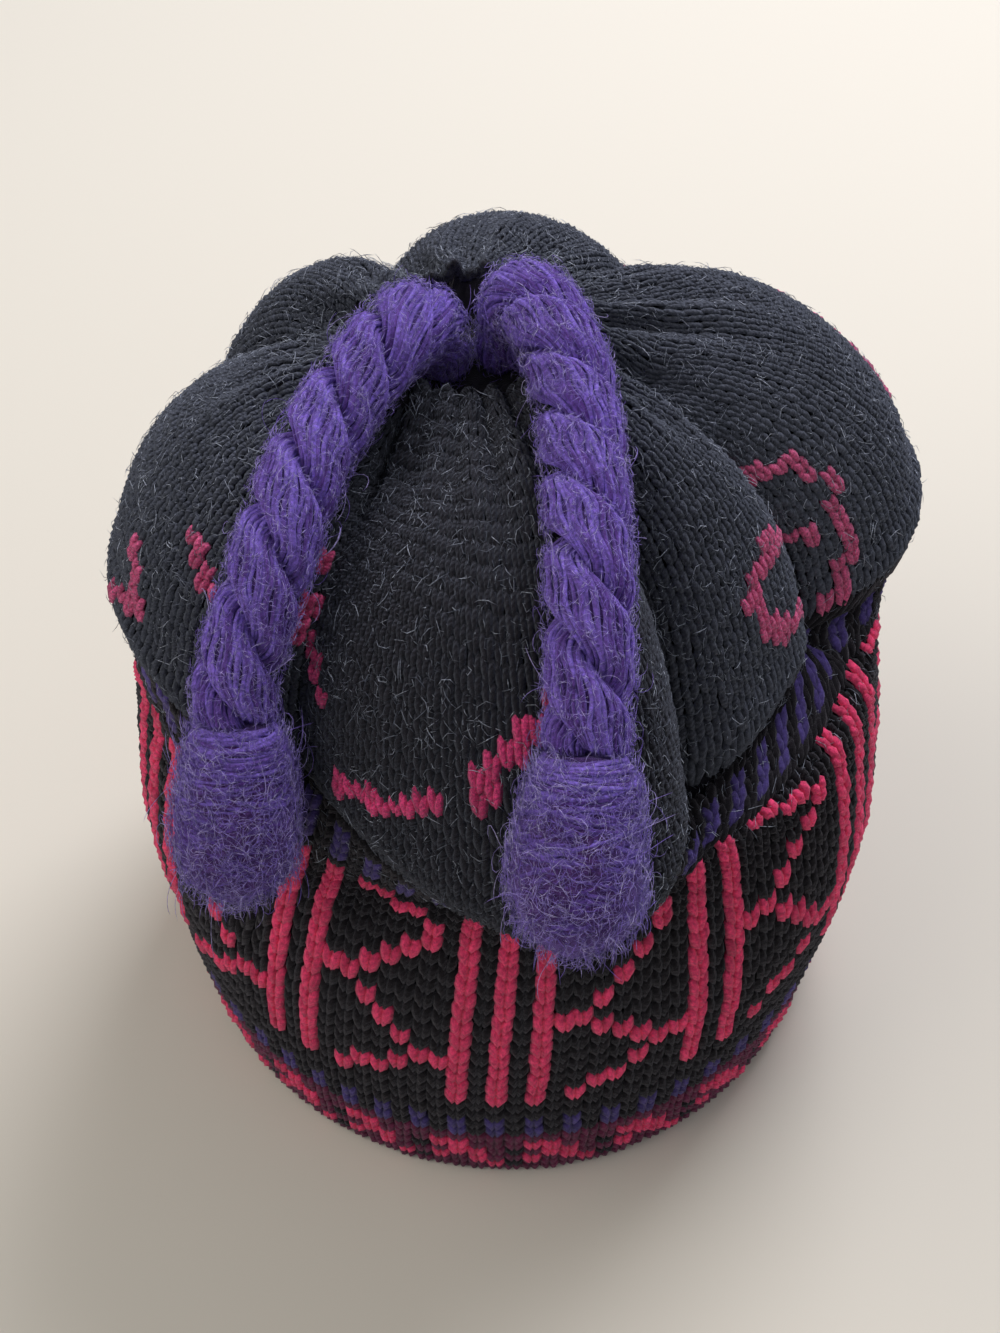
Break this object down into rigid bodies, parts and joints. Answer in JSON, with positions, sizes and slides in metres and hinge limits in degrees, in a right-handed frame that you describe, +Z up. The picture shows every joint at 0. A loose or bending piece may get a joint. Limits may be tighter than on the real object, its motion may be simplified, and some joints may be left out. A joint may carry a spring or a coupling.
{
  "type": "knitted beanie",
  "caption": "Hand-knitted wool beanie with a patterned band, a crown of soft lobes gathered at the top, and twisted cords that end in wound bobbles.",
  "frame": {"origin": "under the middle of the knitted body's box, on the surface that the rim stands on", "axes": "+Z up from the rim to the crown, -Y towards the side that the cords hang over, +X to the right when that side is looked at"},
  "size_m": [0.201, 0.2262, 0.2173],
  "materials": {
    "body_wool": "knitted black wool with pink and purple stranded pattern",
    "cord_wool": "twisted and wound purple wool"
  },
  "bodies": {
    "root": {"knitted_body": "body_wool", "cord_right": "cord_wool", "cord_left": "cord_wool", "bobble_right": "cord_wool", "bobble_left": "cord_wool"}
  },
  "joints": []
}
